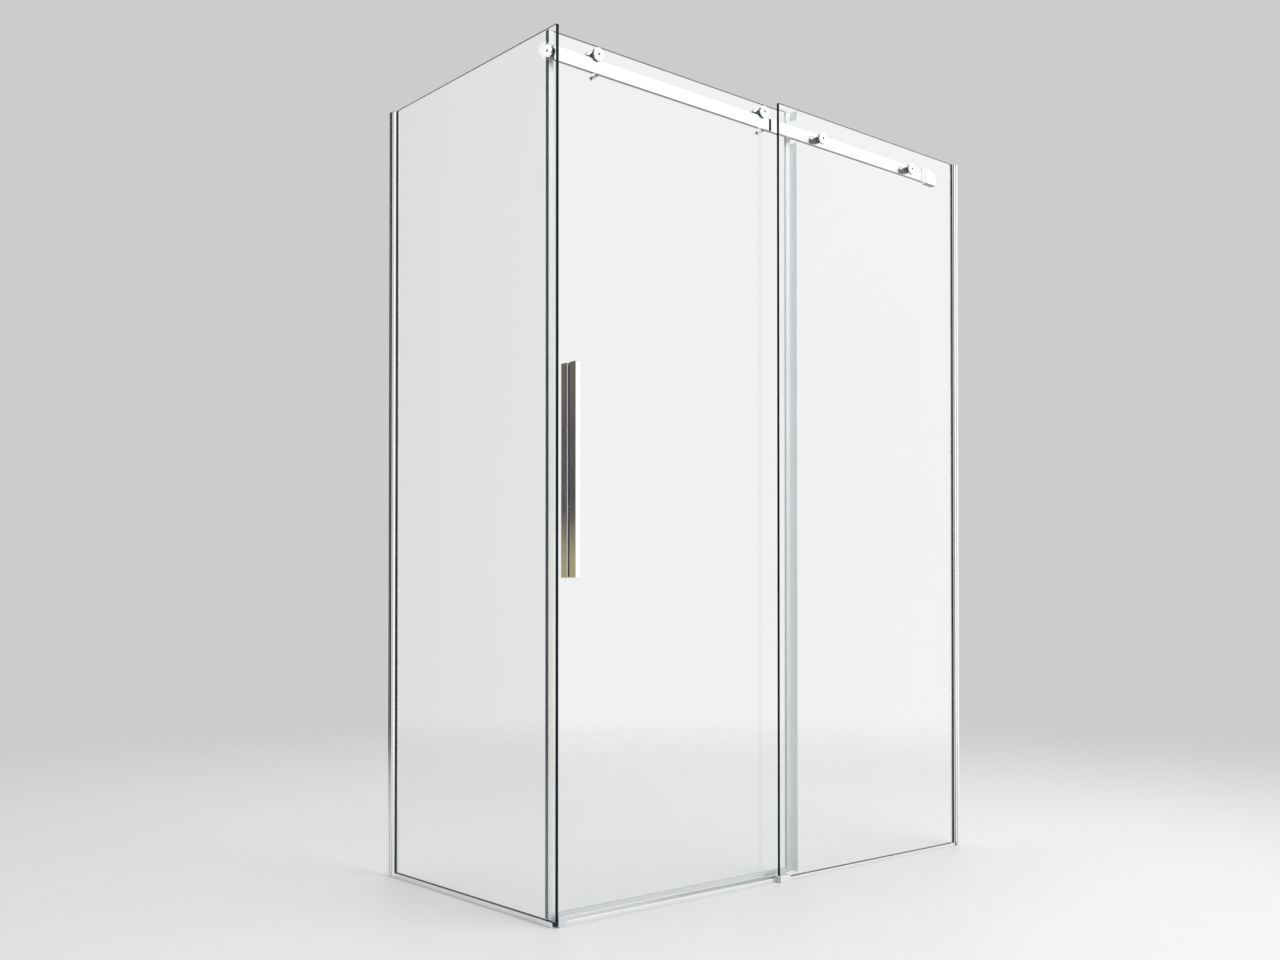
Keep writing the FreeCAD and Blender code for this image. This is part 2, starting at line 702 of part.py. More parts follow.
def roller_spacers():
    """Return the collars between the wheels and the door glass."""
    start = WHEEL_BACK_Y + RAIL_TOP_GAP
    length = DOOR_Y - STAND_OFF - start
    return group([
        ring(Y_AXIS, (x, start, WHEEL_Z), BOLT_R + FIT, ROLLER_SPACER_R, length) for x in WHEEL_X
    ])


def roller_sleeves():
    """Return the clear sleeves in the door's axle holes."""
    start = DOOR_Y - STAND_OFF
    outer = GLASS_HOLE_R - FIT
    length = GLASS + 2 * STAND_OFF
    return group([ring(Y_AXIS, (x, start, WHEEL_Z), BOLT_R + FIT, outer, length) for x in WHEEL_X])


def roller_nuts():
    """Return the round closed nuts on the axles inside the shower."""
    nuts = []
    for x in WHEEL_X:
        start = (x, DOOR_BACK_Y + STAND_OFF, WHEEL_Z)
        nut = rod(Y_AXIS, start, BOLT_CAP_R, ROLLER_NUT_THICK)
        nuts.append(nut.cut(rod(Y_AXIS, start, BOLT_R + FIT, ROLLER_NUT_THICK - 1.2)))
    return group(nuts)


def antijump_pins():
    """Return the pins below the rail that keep the door on it, headed inside the shower."""
    pins = []
    for x in WHEEL_X:
        length = DOOR_BACK_Y + PIN_HEAD_THICK - PIN_FRONT_Y
        pin = rod(Y_AXIS, (x, PIN_FRONT_Y, PIN_Z), PIN_R, length)
        head = rod(Y_AXIS, (x, DOOR_BACK_Y, PIN_Z), PIN_HEAD_R, PIN_HEAD_THICK)
        pins.append(fused([pin, head]))
    return group(pins)


# ----------------------------------------------------------------- handle

def handle_bar(near_y, far_y):
    """Return one upright bar of the pull handle, its corners broken."""
    bar = box(HANDLE_X, HANDLE_X + HANDLE_WIDTH, near_y, far_y, HANDLE_LOW, HANDLE_HIGH)
    return bar.makeChamfer(0.8, bar.Edges)


def handle_outer():
    """Return the outer bar, with blind threads for the two studs."""
    back = DOOR_Y - STAND_OFF
    bar = handle_bar(HANDLE_OUT_Y, back)
    for z in HANDLE_BOLT_Z:
        start = (HANDLE_MID_X, back - HANDLE_THREAD, z)
        bar = bar.cut(rod(Y_AXIS, start, HANDLE_BOLT_R + FIT, HANDLE_THREAD + 1))
    return bar


def handle_inner():
    """Return the inner bar, with blind threads for the two studs."""
    front = DOOR_BACK_Y + STAND_OFF
    bar = handle_bar(front, HANDLE_IN_Y)
    for z in HANDLE_BOLT_Z:
        start = (HANDLE_MID_X, front - 1, z)
        bar = bar.cut(rod(Y_AXIS, start, HANDLE_BOLT_R + FIT, HANDLE_THREAD + 1))
    return bar


def handle_studs():
    """Return the studs that clamp the two bars through the door."""
    start = DOOR_Y - STAND_OFF - HANDLE_THREAD + 1
    end = DOOR_BACK_Y + STAND_OFF + HANDLE_THREAD - 1
    return group([
        rod(Y_AXIS, (HANDLE_MID_X, start, z), HANDLE_BOLT_R, end - start) for z in HANDLE_BOLT_Z
    ])


def handle_pads():
    """Return the clear strips between the handle and the glass, clear of the studs."""
    clear = HANDLE_BOLT_R + 3
    low_stud, high_stud = HANDLE_BOLT_Z
    near_x = HANDLE_MID_X - PAD_WIDTH / 2
    far_x = HANDLE_MID_X + PAD_WIDTH / 2
    runs = [
        (HANDLE_LOW + PAD_END, low_stud - clear), (low_stud + clear, high_stud - clear),
        (high_stud + clear, HANDLE_HIGH - PAD_END),
    ]
    strips = []
    for start, end in runs:
        for y in (DOOR_Y - STAND_OFF, DOOR_BACK_Y):
            strips.append(box(near_x, far_x, y, y + STAND_OFF, start, end))
    return group(strips)


# ------------------------------------------------------------------ seals

def upright_strip(section):
    """Extrude a seal's (X, Y) outline along an upright edge of the door."""
    return along_z(section, DOOR_FOOT + SEAL_END_GAP, HEIGHT - SEAL_END_GAP)


def door_leading_seal():
    """Return the strip whose nose closes against the side panel."""
    nose_x = DOOR_LEAD_X - LEAD_NOSE
    end_x = DOOR_LEAD_X + LEAD_SEAL_WIDE
    return upright_strip([
        (nose_x, SEAL_NEAR_Y, 1.6), (end_x, SEAL_NEAR_Y, 0), (end_x, DOOR_Y, 0),
        (DOOR_LEAD_X, DOOR_Y, 0), (DOOR_LEAD_X, DOOR_BACK_Y, 0), (end_x, DOOR_BACK_Y, 0),
        (end_x, SEAL_FAR_Y, 0), (nose_x, SEAL_FAR_Y, 1.6),
    ])


def door_trailing_seal():
    """Return the strip whose fin closes the gap to the fixed panel, clear of the rail."""
    start_x = DOOR_TRAIL_X - TRAIL_SEAL_WIDE
    end_x = DOOR_TRAIL_X + SEAL_WALL
    strip = upright_strip([
        (start_x, SEAL_NEAR_Y, 0), (DOOR_TRAIL_X, SEAL_NEAR_Y, 0), (DOOR_TRAIL_X, FIN_TIP_Y, 0),
        (end_x, FIN_TIP_Y, 0), (end_x, SEAL_FAR_Y, 1.0), (start_x, SEAL_FAR_Y, 0),
        (start_x, DOOR_BACK_Y, 0), (DOOR_TRAIL_X, DOOR_BACK_Y, 0), (DOOR_TRAIL_X, DOOR_Y, 0),
        (start_x, DOOR_Y, 0),
    ])
    return strip.cut(box(
        DOOR_TRAIL_X - 1, end_x + 1, FIN_TIP_Y - 1, SEAL_NEAR_Y, STOP_LOW - 10, STOP_HIGH + 7
    ))


def door_bottom_seal():
    """Return the strip under the door, with a fin that drips behind the threshold."""
    middle = DOOR_Y + GLASS_MID
    fin = SEAL_WALL / 2
    base = DOOR_FOOT - SEAL_WALL
    start = DOOR_LEAD_X + LEAD_SEAL_WIDE + 1
    end = DOOR_TRAIL_X - TRAIL_SEAL_WIDE - 1
    section = [
        (SEAL_NEAR_Y, base, 0), (middle - fin, base - 2.5, 0), (middle - fin, DRIP_LOW, 0),
        (middle + fin, DRIP_LOW, 0), (middle + fin, base - 2.5, 0), (SEAL_FAR_Y, base, 0),
        (SEAL_FAR_Y, BOTTOM_SEAL_HIGH, 0), (DOOR_BACK_Y, BOTTOM_SEAL_HIGH, 0),
        (DOOR_BACK_Y, DOOR_FOOT, 0), (DOOR_Y, DOOR_FOOT, 0),
        (DOOR_Y, BOTTOM_SEAL_HIGH, 0), (SEAL_NEAR_Y, BOTTOM_SEAL_HIGH, 0),
    ]
    return along_x(section, start, end)


# ----------------------------------------------------------------- output

def save(name, shape):
    """Move a piece from the corner frame to the enclosure's frame and write it."""
    placed = shape.copy()
    placed.translate(FreeCAD.Vector(-MIDDLE_X, -MIDDLE_Y, 0))
    placed.exportStep(os.path.join("parts", name + ".step"))


PIECES = [
    side_panel_glass, fixed_panel_glass, door_glass,
    side_floor_profile, side_floor_gasket, fixed_floor_profile, fixed_floor_gasket,
    threshold_profile, threshold_corner_block, guide_block, guide_fork,
    rail, rail_bolts, rail_bolt_sleeves, rail_spacers, rail_end_stop, end_stop_buffer,
    roller_axles, roller_spacers, roller_sleeves, roller_nuts, antijump_pins,
    handle_outer, handle_inner, handle_studs, handle_pads,
    door_leading_seal, door_trailing_seal, door_bottom_seal,
]
SIDED_PIECES = [wall_channel, glass_profile, glass_gasket, clamp_screws, top_cap]

os.makedirs("parts", exist_ok=True)
for piece in PIECES:
    save(piece.__name__, piece())
for side in ("left", "right"):
    for piece in SIDED_PIECES:
        save(side + "_" + piece.__name__, piece(side))
for place, wheel_x in zip(("left", "right"), WHEEL_X):
    save(place + "_wheel", wheel(wheel_x))
    save(place + "_wheel_bearing", wheel_bearing(wheel_x))
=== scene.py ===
import math

import bmesh
import bpy
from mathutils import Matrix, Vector


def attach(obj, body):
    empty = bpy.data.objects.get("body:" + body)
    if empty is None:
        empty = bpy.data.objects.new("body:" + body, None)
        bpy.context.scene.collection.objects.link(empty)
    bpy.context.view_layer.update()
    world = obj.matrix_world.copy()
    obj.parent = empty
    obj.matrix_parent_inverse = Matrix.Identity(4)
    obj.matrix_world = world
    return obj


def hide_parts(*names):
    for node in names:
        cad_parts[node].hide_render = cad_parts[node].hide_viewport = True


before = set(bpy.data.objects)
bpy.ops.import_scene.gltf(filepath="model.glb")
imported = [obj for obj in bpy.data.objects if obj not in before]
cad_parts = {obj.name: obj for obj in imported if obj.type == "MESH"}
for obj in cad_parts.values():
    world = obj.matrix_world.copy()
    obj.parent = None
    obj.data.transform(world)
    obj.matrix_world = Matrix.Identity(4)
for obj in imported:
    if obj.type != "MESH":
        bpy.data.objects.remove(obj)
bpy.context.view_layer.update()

MM = 0.001
CORNER = Vector((-0.732, -0.3505, 0.0))  # in metres
QUARTER = math.pi / 2

# Turns that point a turned part along an axis, from its outer end inwards
ALONG_X = (0.0, QUARTER, 0.0)
ALONG_Y = (-QUARTER, 0.0, 0.0)
ALONG_MINUS_X = (0.0, -QUARTER, 0.0)
ALONG_MINUS_Y = (QUARTER, 0.0, 0.0)

# Places along the front and up it
RAIL_MID_Y = 23.0
RAIL_MID_Z = 1944.0
FIXED_BOLT_X = (881.0, 1260.0)
WHEEL_X = (131.1, 676.3)
WHEEL_Z = 1970.3
PIN_Z = 1922.5

# Depths at which the fittings start, inwards from the outer face of a fixed pane
CAP_START = -8
SLEEVE_START = -1
COLLAR_START = 9
WHEEL_START = 10
BEARING_START = 12.6
PIN_START = 19
AXLE_COLLAR_START = 28.8
DOOR_SLEEVE_START = 34
PIN_BUSH_START = 34.5
NUT_START = 44

# Walls, and the groove and the clamp screws of the profiles beside them
RIGHT_WALL_X = 1472
LEFT_WALL_Y = 714
GLASS_MIDDLE = 4
GROOVE_NEAR = 5.5
GROOVE_FAR = 9.5
SCREW_FACE = 17.8
LEFT_SCREW_Y = 702.6
LEFT_SCREW_Z = (141.0, 1716.0)
RIGHT_SCREW_X = 1460.6
RIGHT_SCREW_Z = (175.0, 1823.0)

# Radii that several turned parts share
CAP_R = 15
BOLT_R = 4
BOLT_HOLE_R = 4.1
SLEEVE_R = 6.9

# Numbers of the sockets that share their name with others on the same node
COLOUR_A, COLOUR_B, MIXED_COLOUR = 6, 7, 2
LARGEST_CHANCE, CHANCE_VALUE = 3, 1


def at(x, y, z):
    """Return a place in metres from millimetres off the glass corner."""
    return CORNER + Vector((x, y, z)) * MM


# ------------------------------------------------------------- node helpers

def group_input(group, name, kind, value=None):
    """Add one named input to a node group."""
    socket = group.interface.new_socket(name, in_out="INPUT", socket_type=kind)
    if value is not None:
        socket.default_value = value


def group_output(group, name, kind):
    """Add one named output to a node group."""
    group.interface.new_socket(name, in_out="OUTPUT", socket_type=kind)


def add_node(tree, kind, **values):
    """Add a node; a value goes to the input of its name, or else to the setting."""
    node = tree.nodes.new(kind)
    for name, value in values.items():
        socket = name.replace("_", " ")
        if socket in node.inputs:
            node.inputs[socket].default_value = value
        else:
            setattr(node, name, value)
    return node


def shader_group(name, inputs, outputs):
    """Start a shader node group; return it with its input, output and place nodes."""
    group = bpy.data.node_groups.new(name, "ShaderNodeTree")
    for socket, value in inputs.items():
        kind = "NodeSocketVector" if isinstance(value, tuple) else "NodeSocketFloat"
        group_input(group, socket, kind, value)
    for socket in outputs:
        group_output(group, socket, "NodeSocketFloat")
    source = group.nodes.new("NodeGroupInput")
    result = group.nodes.new("NodeGroupOutput")
    place = group.nodes.new("ShaderNodeTexCoord")
    return group, source, result, place


# ------------------------------------------------------- shader node groups

# How tightly the lines of drawn metal are packed along X, Y and Z
DRAWN_ALONG_X = (4.0, 900.0, 900.0)
DRAWN_ALONG_Y = (900.0, 4.0, 900.0)
DRAWN_ALONG_Z = (900.0, 900.0, 4.0)
BRUSHED_ALONG_Y = (700.0, 40.0, 700.0)


def film_group():
    """Build the soft uneven film that polished and glazed surfaces carry."""
    group, source, result, place = shader_group(
        "surface_film", {"Patch size": 6.0, "Low": 0.05, "High": 0.12}, ("Mask", "Level"))
    cloud = add_node(group, "ShaderNodeTexNoise", Detail=4.0, Roughness=0.55, Distortion=0.6)
    patches = add_node(group, "ShaderNodeMapRange", From_Min=0.35, From_Max=0.68)
    level = group.nodes.new("ShaderNodeMapRange")
    link = group.links.new
    link(place.outputs["Object"], cloud.inputs["Vector"])
    link(source.outputs["Patch size"], cloud.inputs["Scale"])
    link(cloud.outputs["Fac"], patches.inputs["Value"])
    link(patches.outputs["Result"], result.inputs["Mask"])
    link(patches.outputs["Result"], level.inputs["Value"])
    link(source.outputs["Low"], level.inputs["To Min"])
    link(source.outputs["High"], level.inputs["To Max"])
    link(level.outputs["Result"], result.inputs["Level"])
    return group


def drawn_group():
    """Build the fine lines that run along a drawn or brushed metal piece."""
    group, source, result, place = shader_group(
        "drawn_lines", {"Stretch": DRAWN_ALONG_Z}, ("Tone", "Height"))
    stretch = add_node(group, "ShaderNodeVectorMath", operation="MULTIPLY")
    lines = add_node(group, "ShaderNodeTexNoise", Scale=1.0, Detail=3.0, Roughness=0.6)
    tone = add_node(group, "ShaderNodeMapRange", From_Min=0.3, From_Max=0.7)
    link = group.links.new
    link(place.outputs["Object"], stretch.inputs[0])
    link(source.outputs["Stretch"], stretch.inputs[1])
    link(stretch.outputs[0], lines.inputs["Vector"])
    link(lines.outputs["Fac"], tone.inputs["Value"])
    link(tone.outputs["Result"], result.inputs["Tone"])
    link(lines.outputs["Fac"], result.inputs["Height"])
    return group


def skin_group():
    """Build the fine skin of moulded or extruded plastic and rubber."""
    group, source, result, place = shader_group(
        "moulded_skin", {"Grain size": 1800.0}, ("Height", "Cloud"))
    grain = add_node(group, "ShaderNodeTexNoise", Detail=2.0)
    cloud = add_node(group, "ShaderNodeTexNoise", Scale=14.0, Detail=3.0)
    link = group.links.new
    link(place.outputs["Object"], grain.inputs["Vector"])
    link(place.outputs["Object"], cloud.inputs["Vector"])
    link(source.outputs["Grain size"], grain.inputs["Scale"])
    link(grain.outputs["Fac"], result.inputs["Height"])
    link(cloud.outputs["Fac"], result.inputs["Cloud"])
    return group


FILM = film_group()
DRAWN = drawn_group()
SKIN = skin_group()


# --------------------------------------------------------- kinds of material

# Strengths of the relief, and its depths in metres
DRAWN_RELIEF = 0.06
SKIN_RELIEF = 0.25
SHALLOW = 0.00005
DEEP = 0.0001

# Grain of plastic and rubber, as grains over a metre
EDGE_GRAIN = 900.0
MOULD_GRAIN = 1400.0
RUBBER_GRAIN = 1600.0


def blank(name, roughness, **values):
    """Return a new material, its tree and its main shader with plain values set."""
    material = bpy.data.materials.new(name)
    material.use_nodes = True
    tree = material.node_tree
    shader = tree.nodes["Principled BSDF"]
    shader.inputs["Roughness"].default_value = roughness
    for socket, value in values.items():
        shader.inputs[socket.replace("_", " ")].default_value = value
    return material, tree, shader


def placed_group(tree, group, **values):
    """Put a node group in a material with its own values."""
    return add_node(tree, "ShaderNodeGroup", node_tree=group, **values)


def two_tones(tree, shader, mask, dark, light):
    """Mix two close tones over the surface by a mask."""
    mix = add_node(tree, "ShaderNodeMix", data_type="RGBA")
    mix.inputs[COLOUR_A].default_value = (*dark, 1.0)
    mix.inputs[COLOUR_B].default_value = (*light, 1.0)
    tree.links.new(mask, mix.inputs["Factor"])
    tree.links.new(mix.outputs[MIXED_COLOUR], shader.inputs["Base Color"])


def relief(tree, shader, height, strength, depth):
    """Give the surface a small relief from a height."""
    bump = add_node(tree, "ShaderNodeBump", Strength=strength, Distance=depth)
    tree.links.new(height, bump.inputs["Height"])
    tree.links.new(bump.outputs["Normal"], shader.inputs["Normal"])


def polished_metal(name, dark, light, low, high):
    """Return plated metal with a faint film, its roughness between low and high."""
    material, tree, shader = blank(name, low, Metallic=1.0)
    film = placed_group(tree, FILM, Patch_size=22.0, Low=low, High=high)
    tree.links.new(film.outputs["Level"], shader.inputs["Roughness"])
    two_tones(tree, shader, film.outputs["Mask"], dark, light)
    return material


def drawn_metal(name, dark, light, roughness, stretch):
    """Return extruded metal with fine lines along its length."""
    material, tree, shader = blank(name, roughness, Metallic=1.0)
    lines = placed_group(tree, DRAWN, Stretch=stretch)
    two_tones(tree, shader, lines.outputs["Tone"], dark, light)
    relief(tree, shader, lines.outputs["Height"], DRAWN_RELIEF, DEEP)
    return material


def moulded(name, dark, light, roughness, grain, depth, **values):
    """Return moulded plastic or rubber with a fine skin."""
    material, tree, shader = blank(name, roughness, **values)
    skin = placed_group(tree, SKIN, Grain_size=grain)
    two_tones(tree, shader, skin.outputs["Cloud"], dark, light)
    relief(tree, shader, skin.outputs["Height"], SKIN_RELIEF, depth)
    return material


def lamp_light_passes(tree, shader, tint):
    """Let lamp light through a clear material, so that it throws no dark shadow."""
    path = tree.nodes.new("ShaderNodeLightPath")
    through = add_node(tree, "ShaderNodeBsdfTransparent", Color=(*tint, 1.0))
    mix = tree.nodes.new("ShaderNodeMixShader")
    tree.links.new(path.outputs["Is Shadow Ray"], mix.inputs["Fac"])
    tree.links.new(shader.outputs["BSDF"], mix.inputs[1])
    tree.links.new(through.outputs["BSDF"], mix.inputs[2])
    tree.links.new(mix.outputs["Shader"], tree.nodes["Material Output"].inputs["Surface"])


def clear_material(name, dark, light, roughness, transmission, ior, tint):
    """Return a clear material whose tint varies very slightly."""
    material, tree, shader = blank(
        name, roughness, Transmission_Weight=transmission, IOR=ior)
    film = placed_group(tree, FILM, Patch_size=3.0)
    two_tones(tree, shader, film.outputs["Mask"], dark, light)
    lamp_light_passes(tree, shader, tint)
    return material


# ---------------------------------------------------------------- materials

GLASS = clear_material(
    "clear_toughened_glass", (0.978, 0.986, 0.985), (0.984, 0.991, 0.990),
    roughness=0.0, transmission=1.0, ior=1.45, tint=(0.93, 0.95, 0.945))
GLASS_EDGE = moulded(
    "dark_glass_edge", (0.001, 0.006, 0.009), (0.003, 0.012, 0.016),
    roughness=0.25, grain=EDGE_GRAIN, depth=SHALLOW, Specular_IOR_Level=0.10)
GLASS_TOP = moulded(
    "ground_glass_edge", (0.080, 0.092, 0.098), (0.12, 0.135, 0.14),
    roughness=0.30, grain=EDGE_GRAIN, depth=SHALLOW)
CHROME = polished_metal(
    "polished_chrome_plate", (0.90, 0.905, 0.915), (0.94, 0.945, 0.95), low=0.03, high=0.09)
MIRROR = polished_metal(
    "mirror_polished_chrome", (0.92, 0.925, 0.93), (0.95, 0.955, 0.96), low=0.005, high=0.02)
# Painted shade and painted dark reflection: near-black metal for the collars, the wheels'
# treads and the nuts' rims
PAINTED_SHADE_METAL = polished_metal(
    "painted_shade_collar_steel", (0.070, 0.076, 0.084), (0.11, 0.116, 0.124), low=0.16, high=0.24)
# Painted shade: very dark brown in hex sockets, on the back rims of bolt caps and on the
# pins' front ends
SOCKET = moulded(
    "painted_shade_dark_brown", (0.030, 0.022, 0.020), (0.050, 0.038, 0.034),
    roughness=0.5, grain=EDGE_GRAIN, depth=SHALLOW)
UPRIGHT = drawn_metal(
    "bright_upright_aluminium", (0.88, 0.89, 0.90), (0.93, 0.935, 0.94),
    roughness=0.08, stretch=DRAWN_ALONG_Z)
LEVEL_X = drawn_metal(
    "bright_threshold_aluminium", (0.84, 0.85, 0.86), (0.90, 0.905, 0.91),
    roughness=0.18, stretch=DRAWN_ALONG_X)
LEVEL_Y = drawn_metal(
    "bright_floor_channel_aluminium", (0.84, 0.85, 0.86), (0.90, 0.905, 0.91),
    roughness=0.18, stretch=DRAWN_ALONG_Y)
STEEL = drawn_metal(
    "plain_stainless_steel", (0.56, 0.57, 0.58), (0.66, 0.67, 0.68),
    roughness=0.28, stretch=BRUSHED_ALONG_Y)
SEAL = clear_material(
    "clear_seal_vinyl", (0.93, 0.94, 0.945), (0.96, 0.965, 0.97),
    roughness=0.30, transmission=0.30, ior=1.35, tint=(0.90, 0.92, 0.93))
# Painted shade: dark slate on the leading seal's faces towards -X and on the side pane's far
# end
PAINTED_SLATE_SHADE = moulded(
    "painted_slate_shade", (0.055, 0.065, 0.075), (0.080, 0.092, 0.105),
    roughness=0.35, grain=MOULD_GRAIN, depth=SHALLOW)
WASHER = clear_material(
    "clear_hard_nylon", (0.80, 0.83, 0.84), (0.88, 0.90, 0.90),
    roughness=0.30, transmission=0.55, ior=1.45, tint=(0.7, 0.72, 0.73))
PAD = moulded(
    "violet_grey_pad_vinyl", (0.20, 0.15, 0.36), (0.27, 0.21, 0.44),
    roughness=0.40, grain=MOULD_GRAIN, depth=SHALLOW)
GREY_BLOCK = moulded(
    "grey_translucent_moulding", (0.60, 0.645, 0.67), (0.70, 0.73, 0.745),
    roughness=0.32, grain=MOULD_GRAIN, depth=DEEP)
DARK_FORK = moulded(
    "dark_grey_moulding", (0.022, 0.036, 0.040), (0.040, 0.058, 0.062),
    roughness=0.38, grain=MOULD_GRAIN, depth=DEEP)
INNER_STRIP = moulded(
    "pale_glazing_vinyl", (0.80, 0.81, 0.81), (0.86, 0.87, 0.87),
    roughness=0.34, grain=MOULD_GRAIN, depth=SHALLOW)
RUBBER = moulded(
    "dark_grey_glazing_rubber", (0.030, 0.034, 0.038), (0.048, 0.052, 0.056),
    roughness=0.62, grain=RUBBER_GRAIN, depth=DEEP)
# Painted shade: near black on the floor of the wall channels' outer groove
PAINTED_GROOVE_SHADE = moulded(
    "painted_shade_profile_groove", (0.0015, 0.002, 0.005), (0.003, 0.004, 0.008),
    roughness=0.60, grain=MOULD_GRAIN, depth=SHALLOW, Specular_IOR_Level=0.10)
GREY_CAP = moulded(
    "light_grey_cap_plastic", (0.46, 0.47, 0.48), (0.54, 0.55, 0.56),
    roughness=0.40, grain=MOULD_GRAIN, depth=DEEP)


# -------------------------------------------------------------- mesh helpers

JOIN_WITHIN = 2e-6  # in metres
FLAT_WITHIN = math.radians(0.5)
EASED_FROM = math.radians(35.0)


def finished(name, mesh, body, stands_for=(), sharp=32.0):
    """Show a mesh as a piece of one body, standing for the named nodes."""
    mesh.shade_smooth()
    mesh.set_sharp_from_angle(angle=math.radians(sharp))
    piece = bpy.data.objects.new(name, mesh)
    bpy.context.scene.collection.objects.link(piece)
    if stands_for:
        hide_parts(*stands_for)
    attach(piece, body)
    return piece


def merged_copy(node):
    """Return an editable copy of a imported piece, its loose triangles joined."""
    shape = bmesh.new()
    shape.from_mesh(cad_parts[node].data)
    bmesh.ops.remove_doubles(shape, verts=shape.verts, dist=JOIN_WITHIN)
    bmesh.ops.dissolve_limit(
        shape, angle_limit=FLAT_WITHIN, verts=shape.verts, edges=shape.edges)
    return shape


def as_mesh(shape, name, *materials):
    """Turn an edited shape into a mesh with its materials."""
    mesh = bpy.data.meshes.new(name)
    shape.to_mesh(mesh)
    shape.free()
    for material in materials:
        mesh.materials.append(material)
    return mesh


def eased_piece(node, body, material, width):
    """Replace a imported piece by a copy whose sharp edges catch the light."""
    shape = merged_copy(node)
    sharp = [edge for edge in shape.edges
             if edge.is_manifold and edge.calc_face_angle() > EASED_FROM]
    bmesh.ops.bevel(shape, geom=sharp, offset=width * MM, segments=2, profile=0.5,
                    affect="EDGES", clamp_overlap=True)
    mesh = as_mesh(shape, node + "_eased", material)
    piece = finished(node + "_dressed", mesh, body, [node])
    weigh = piece.modifiers.new("even_faces", "WEIGHTED_NORMAL")
    weigh.keep_sharp = True
    weigh.weight = 90
    return piece


def second_finish(piece, material, chosen):
    """Paint shade on the chosen faces of a piece by giving them a second, darker material."""
    piece.data.materials.append(material)
    for polygon in piece.data.polygons:
        polygon.material_index = 1 if chosen(polygon) else 0


def dress(node, material):
    """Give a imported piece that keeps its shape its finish."""
    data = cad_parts[node].data
    data.materials.clear()
    data.materials.append(material)


# -------------------------------------------------------------- turned parts

RIM_STEPS = 4
RIM_FLAT = 0.25
FRONT, BACK = 1, -1


def turned(profile, steps=64, closed=False):
    """Turn points of (radius, height) or (radius, height, mark) about Z into a part.

    Heights grow from the outer end of the part inwards, and a radius of 0 is a pole.
    The mark "hex" makes a ring a hexagon. Faces between two marked rings take painted
    shade, the part's second and darker material, and so do those round a pole that comes
    first.
    """
    shape = bmesh.new()
    rings = []
    for radius, height, *mark in profile:
        if radius == 0:
            rings.append([shape.verts.new((0, 0, height * MM))])
            continue
        ring = []
        for step in range(steps):
            angle = 2 * math.pi * step / steps
            reach = radius
            if mark == ["hex"]:
                reach = radius / math.cos(math.radians((math.degrees(angle) % 60) - 30))
            ring.append(shape.verts.new((
                reach * MM * math.cos(angle), reach * MM * math.sin(angle), height * MM)))
        rings.append(ring)
    pairs = list(zip(rings, rings[1:]))
    shaded_pairs = [len(one) > 2 and len(two) > 2 for one, two in zip(profile, profile[1:])]
    if len(rings[0]) == 1:
        shaded_pairs[0] = True
    if closed:
        pairs.append((rings[-1], rings[0]))
        shaded_pairs.append(False)
    # Faces marked here take painted shade
    layer = shape.faces.layers.int.new("second_finish")
    for (one, two), painted_shade in zip(pairs, shaded_pairs):
        for step in range(steps):
            following = (step + 1) % steps
            corners = [one[step % len(one)], one[following % len(one)],
                       two[following % len(two)], two[step % len(two)]]
            face = shape.faces.new(list(dict.fromkeys(corners)))
            face[layer] = 1 if painted_shade else 0
    bmesh.ops.recalc_face_normals(shape, faces=shape.faces)
    return shape


def rim(radius, height, round_off, end):
    """Return a rounded rim: out to the side at the front end, in from it at the back."""
    points = [(radius - round_off - RIM_FLAT, height)]
    for step in range(RIM_STEPS + 1):
        angle = QUARTER * step / RIM_STEPS
        points.append((radius - round_off + round_off * math.sin(angle),
                       height + end * (round_off - round_off * math.cos(angle))))
    points.append((radius, height + end * (round_off + RIM_FLAT)))
    return points if end == FRONT else points[::-1]


def in_shade(points):
    """Return turned points whose faces take painted shade, the part's second material."""
    return [(radius, height, "shade") for radius, height in points]


HEX_SOCKET = [(0, 3.5), (2.5, 3.5, "hex"), (2.5, 0.25, "hex"), (3.2, 0), (3.6, 0)]
# Painted shade and painted dark reflection on the wheel's back rim and tread
WHEEL = [
    (6.7, 2.5), (6.7, 0.3), (7.0, 0), (7.4, 0), *rim(CAP_R, 0, 0.8, FRONT),
    *in_shade([(CAP_R, 4.2), *rim(CAP_R, 7.5, 0.4, BACK), (10.5, 7.5), (10, 8.0),
               (10, 18.0), (9.5, 18.5)]),
    (8, 18.5), (8, 2.5),
]
BEARING = [
    (4.05, 0), (4.9, 0), (5.1, 0.35), (7.0, 0.35), (7.2, 0), (8.0, 0),
    (8.0, 15.8), (7.2, 15.8), (7.0, 15.5), (5.1, 15.5), (4.9, 15.8), (4.05, 15.8),
]
AXLE = [
    *HEX_SOCKET, *rim(6.5, 0, 0.5, FRONT), (6.5, 2.3), (BOLT_R, 2.3),
    (BOLT_R, 39.0), (3.5, 39.5), (0, 39.5),
]
# Painted shade and painted dark reflection on the round nut's front rim
ROUND_NUT = [
    (0, 5.8), (BOLT_HOLE_R, 5.8), (BOLT_HOLE_R, 0),
    *in_shade([*rim(CAP_R, 0, 0.4, FRONT), (CAP_R, 4.5)]), *rim(CAP_R, 7, 0.9, BACK), (0, 7),
]
PIN = [(0, 0), (2.9, 0), (3.5, 0.6), (3.5, 15.5), (0, 15.5)]
PIN_BUSH = [
    (0, 0), (3.5, 0), (3.5, 8.5), *rim(4.5, 8.5, 0.2, FRONT), *rim(4.5, 10.0, 0.5, BACK),
    (0, 10.0),
]
CLAMP_SCREW = [
    (0, 1.4), (1.0, 1.4, "hex"), (1.0, 0.15, "hex"), (1.35, 0.02), (1.6, 0.04),
    (2.0, 0.2), (2.35, 0.5), (2.55, 1.0), (2.6, 1.5), (2.6, 1.8), (1.5, 1.8), (1.5, 4.7),
    (0, 4.7),
]


